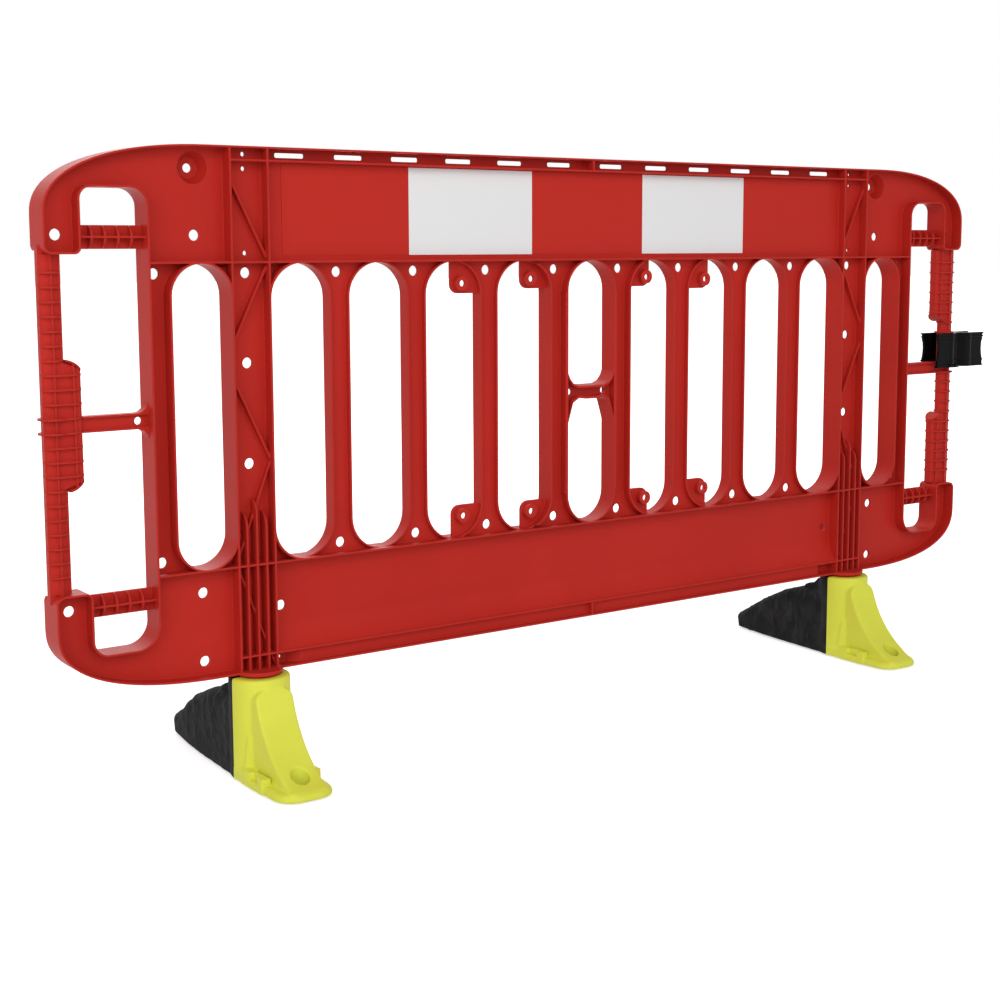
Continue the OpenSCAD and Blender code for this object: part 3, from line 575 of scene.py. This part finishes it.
lugs = {
    "holes": ((0.1315, 0.206), (0.276, 0.200)),
    "middle": 0.584,
    "flare": (0.0140, 0.0064),
    "flareFacets": 64,
    "depth": (-0.0130, -0.0005),
}


# the ringed lugs are hollow, so that light shows through their holes
def hollowLugs(panel):
    p = lugs
    wide, narrow = p["flare"]
    front, back = p["depth"]
    for x, rise in p["holes"]:
        for turn in (-1, 1):
            for up in (-1, 1):
                place = (x * turn, (front + back) / 2, p["middle"] + up * rise)
                bpy.ops.mesh.primitive_cone_add(vertices=p["flareFacets"], radius1=wide, radius2=narrow,
                                                depth=back - front, location=place, rotation=turnTo["y"])
                joined(panel, bpy.context.object, "DIFFERENCE")


panelCrease = 22


# the moulding is one piece, so its members lose the seams between them
def makeRedPanel():
    members = [name for name, slot in slotOf.items() if slot == "red_plastic"]
    panel = copyOf(members[0], "redPanel")
    for name in members[1:]:
        joined(panel, copyOf(name, "member"))
    runCrowns(panel)
    deepenCentreBars(panel)
    fillPosts(panel)
    sweepLedge(panel)
    ribUprights(panel)
    hollowLugs(panel)
    pick(panel)
    bpy.ops.object.shade_smooth_by_angle(angle=math.radians(panelCrease))
    settle(panel, "panel", "red_plastic", members)
    print("red panel joined,", len(panel.data.polygons), "faces")


spigot = {"radius": 0.030, "room": 0.0005, "floor": 0.038, "core": 0.020}


# keeps the softened bore clear of the spigot that turns in it
def clearBore(piece, axis):
    gap = spigot["radius"] + spigot["room"]
    for vertex in piece.data.vertices:
        out = Vector((vertex.co.x - axis[0], vertex.co.y - axis[1]))
        if vertex.co.z > spigot["floor"] and spigot["core"] < out.length < gap:
            out *= gap / out.length
            vertex.co.x, vertex.co.y = axis[0] + out.x, axis[1] + out.y


def footAxis(side):
    for joint in frame["record"]["behaviour"]["joints"]:
        if joint["child"] == side + "_foot":
            return joint["pos_m"]


# spans count from the axis that the foot turns on
toe = {
    "trim": {"x": (0.036, 0.060), "y": (-0.110, -0.053), "z": (0.0165, 0.050)},
    "ridge": {"x": (0.0325, 0.090), "y": (-0.080, 0.010), "z": (0.0275, 0.120)},
    "ridgeRadius": 0.0525,
    "ridgeFacets": 128,
    "strap": {"x": (-0.0330, 0.0330), "y": (-0.1640, -0.0340), "z": (0.0060, 0.1520)},
    "strapCorner": 0.018,
    "strapFront": 0.030,
    "strapSteps": 12,
    "strapArc": (-0.2338, 0.19135, 0.18798),
    "strapFacets": 256,
    "pinHole": (-0.133, 0.015),
    "pinFacets": 96,
    "through": 0.5,
    "voxel": 0.0014,
    "softening": 34,
    "rim": 0.160,
    "sole": 0.0045,
    "seam": -0.004,
    "seamShare": 0.15,
    "pinEdge": 0.004,
    "pinShare": 0.25,
    "catch": {"x": (0.036, 0.0515), "y": (-0.105, -0.040), "z": (0.003, 0.0275)},
    "notch": {"x": (0.043, 0.060), "y": (-0.087, -0.060), "z": (0.0105, 0.060)},
    "catchRound": 0.0013,
    "catchSteps": 3,
    "crease": 38,
}


# the raised strap down the front of a toe, round at its top and open at the pin hole
def makeStrap(axis):
    p = toe
    top, front = p["strap"]["z"][1], axis[1] + p["strap"]["y"][0]
    strap = spanBlock(p["strap"], origin=axis)
    roundEdges(strap, lambda a, b: min(a.z, b.z) > top - hair and abs(a.x - b.x) < hair,
               p["strapCorner"], p["strapSteps"])
    plan = spanBlock({**p["strap"], "z": (-p["through"], p["through"])}, origin=axis)
    roundEdges(plan, lambda a, b: max(a.y, b.y) < front + hair and abs(a.x - b.x) < hair,
               p["strapFront"], p["strapSteps"])
    joined(strap, plan, "INTERSECT")
    arcY, arcZ, arcRadius = p["strapArc"]
    sweep = rod("x", (axis[0], axis[1] + arcY, arcZ), arcRadius, p["through"], p["strapFacets"])
    joined(strap, sweep, "DIFFERENCE")
    pinY, pinRadius = p["pinHole"]
    pin = rod("z", (axis[0], axis[1] + pinY, 0), pinRadius, p["through"], p["pinFacets"])
    joined(strap, pin, "DIFFERENCE")
    return strap


# how far a point of the toe is eased, least at the rim, the seam and the pin hole
def toeShare(x, y, z):
    p = toe
    pinY, pinRadius = p["pinHole"]
    if math.hypot(x, y - pinY) < pinRadius + p["pinEdge"]:
        return p["pinShare"]
    if z > p["rim"] or y > p["seam"]:
        return p["seamShare"]
    return 1.0


# remeshed and eased, for the round edges and fillets of the moulding; the side catches stay crisp
def makeToe(side):
    p = toe
    axis = footAxis(side)
    piece = copyOf(side + "_toe", side + "Toe")
    for turn in (-1, 1):
        joined(piece, spanBlock(p["trim"], turn, axis), "DIFFERENCE")
        ridge = spanBlock(p["ridge"], turn, axis)
        joined(ridge, rod("z", axis, p["ridgeRadius"], p["through"], p["ridgeFacets"]), "DIFFERENCE")
        joined(piece, ridge, "DIFFERENCE")
    joined(piece, makeStrap(axis))
    applied(piece, "REMESH", mode="VOXEL", voxel_size=p["voxel"])
    soft = piece.vertex_groups.new(name="soft")
    for vertex in piece.data.vertices:
        x, y, z = vertex.co
        if z > p["sole"]:
            soft.add([vertex.index], toeShare(x - axis[0], y - axis[1], z), "REPLACE")
    applied(piece, "SMOOTH", factor=0.5, iterations=p["softening"], vertex_group="soft")
    clearBore(piece, axis)
    for turn in (-1, 1):
        catch = spanBlock(p["catch"], turn, axis)
        joined(catch, spanBlock(p["notch"], turn, axis), "DIFFERENCE")
        unpicked(catch)
        applied(catch, "BEVEL", width=p["catchRound"], segments=p["catchSteps"], limit_method="ANGLE")
        joined(piece, catch)
    pick(piece)
    bpy.ops.object.shade_smooth_by_angle(angle=math.radians(p["crease"]))
    settle(piece, side + "_foot", "yellow_plastic", [side + "_toe"])


# each start is where the lumps begin, and each rise is the way to their full height
heel = {
    "voxel": 0.0018,
    "easing": 4,
    "swell": {"from": 0.03, "to": 0.27, "rise": 0.0105, "full": 0.110},
    "seam": {"start": 0.004, "rise": 0.020},
    "ground": {"start": 0.006, "rise": 0.015},
    "hub": {"start": 0.046, "rise": 0.012},
    "lump": 0.030,
    "lumpDepth": 3,
    "lumpLevel": 0.55,
    "lumpHeight": 0.0060,
}


# lumps of pressed crumb, none where the heel meets the toe, the spigot or the ground
def makeHeel(side):
    p = heel
    axis = footAxis(side)
    piece = copyOf(side + "_heel", side + "Heel")
    applied(piece, "REMESH", mode="VOXEL", voxel_size=p["voxel"])
    applied(piece, "SMOOTH", factor=0.5, iterations=p["easing"])
    free = piece.vertex_groups.new(name="free")
    swell = p["swell"]
    for vertex in piece.data.vertices:
        behind = vertex.co.y - axis[1]
        along = min(max((behind - swell["from"]) / (swell["to"] - swell["from"]), 0), 1)
        vertex.co.z += swell["rise"] * math.sin(math.pi * along) * vertex.co.z / swell["full"]
        out = math.hypot(vertex.co.x - axis[0], behind)
        limits = (("seam", behind), ("ground", vertex.co.z), ("hub", out))
        share = min(1.0, *[(at - p[name]["start"]) / p[name]["rise"] for name, at in limits])
        if share > 0:
            free.add([vertex.index], share, "REPLACE")
    lumps = bpy.data.textures.new("lumps", "CLOUDS")
    lumps.noise_scale = p["lump"]
    lumps.noise_depth = p["lumpDepth"]
    applied(piece, "DISPLACE", texture=lumps, texture_coords="LOCAL", strength=p["lumpHeight"],
            mid_level=p["lumpLevel"], vertex_group="free")
    clearBore(piece, axis)
    pick(piece)
    bpy.ops.object.shade_smooth()
    settle(piece, side + "_foot", "black_rubber", [side + "_heel"])


makeRedPanel()
for side in ("left", "right"):
    makeToe(side)
    makeHeel(side)
print("feet softened")

photoCamera = {
    "place": (-1.8271, -2.3611, 0.8546),
    "turn": 36.3,
    "tilt": -7.3,
    "sensor": 36.0,
    "focal": 59.19,
    "shift": (-0.043, -0.048),
    "farthest": 200.0,
}


def setCamera():
    p = photoCamera
    bpy.ops.object.camera_add(location=p["place"],
                              rotation=(math.radians(90 + p["tilt"]), 0, math.radians(-p["turn"])))
    camera = bpy.context.object
    camera.data.sensor_width = p["sensor"]
    camera.data.lens = p["focal"]
    camera.data.shift_x, camera.data.shift_y = p["shift"]
    camera.data.clip_end = p["farthest"]
    bpy.context.scene.camera = camera


studio = {
    "floorSize": 60.0,
    "floorColour": (0.82, 0.82, 0.82),
    "floorRoughness": 0.9,
    "floorLift": (0.56, 0.56, 0.56),
    "liftReach": (1.3, 3.2),
    "white": (1, 1, 1),
    "ambient": 0.46,
    "lamps": {
        "key": {"place": (-1.4, -4.8, 3.2), "aim": (0, 0, 0.5), "size": 3.2, "power": 96.0},
        "side": {"place": (-4.2, -2.6, 2.0), "aim": (0, 0, 0.5), "size": 3.0, "power": 62.0},
        "fill": {"place": (2.0, -4.6, 0.8), "aim": (0.3, 0, 0.4), "size": 2.6, "power": 17.0},
        "rear": {"place": (0.5, 3.8, 2.6), "aim": (0, 0, 0.6), "size": 4.0, "power": 92.0},
    },
}


# pale floor that keeps the object's shadow and fades into white
def setFloor():
    p = studio
    bpy.ops.mesh.primitive_plane_add(size=p["floorSize"], location=(0, 0, 0))
    floor = bpy.context.object
    floor.name = "floor"
    f = Finish("paleFloor")
    seen = f.add("ShaderNodeLightPath", out="Is Camera Ray")
    mirrored = f.add("ShaderNodeLightPath", out="Is Glossy Ray")
    away = f.add("ShaderNodeVectorMath", {"operation": "LENGTH"}, {0: f.place()}, out="Value")
    lift = f.blend(away.between(*p["liftReach"]), p["floorLift"], p["white"])
    f.shade(Base_Color=p["floorColour"], Roughness=p["floorRoughness"],
            Emission_Color=f.blend(seen + mirrored, (0, 0, 0), lift), Emission_Strength=1.0)
    floor.data.materials.append(f.material)


# white to the eye and in reflections, dimmer as light on the object
def setSky():
    world = bpy.data.worlds.new("studioSky")
    world.use_nodes = True
    bpy.context.scene.world = world
    tree = world.node_tree
    path = tree.nodes.new("ShaderNodeLightPath")
    direct = tree.nodes.new("ShaderNodeMath")
    direct.operation = "MAXIMUM"
    tree.links.new(path.outputs["Is Camera Ray"], direct.inputs[0])
    tree.links.new(path.outputs["Is Glossy Ray"], direct.inputs[1])
    level = tree.nodes.new("ShaderNodeMapRange")
    tree.links.new(direct.outputs[0], level.inputs["Value"])
    level.inputs["To Min"].default_value = studio["ambient"]
    level.inputs["To Max"].default_value = 1.0
    tree.links.new(level.outputs[0], tree.nodes["Background"].inputs["Color"])


def setLamps():
    for name, lamp in studio["lamps"].items():
        bpy.ops.object.light_add(type="AREA", location=lamp["place"])
        light = bpy.context.object
        light.name = name + "Light"
        light.data.size = lamp["size"]
        light.data.energy = lamp["power"]
        aim = Vector(lamp["aim"]) - Vector(lamp["place"])
        light.rotation_euler = aim.to_track_quat("-Z", "Y").to_euler()


setCamera()
setFloor()
setSky()
setLamps()
bpy.context.scene.view_settings.view_transform = "Standard"
print("camera and studio set")
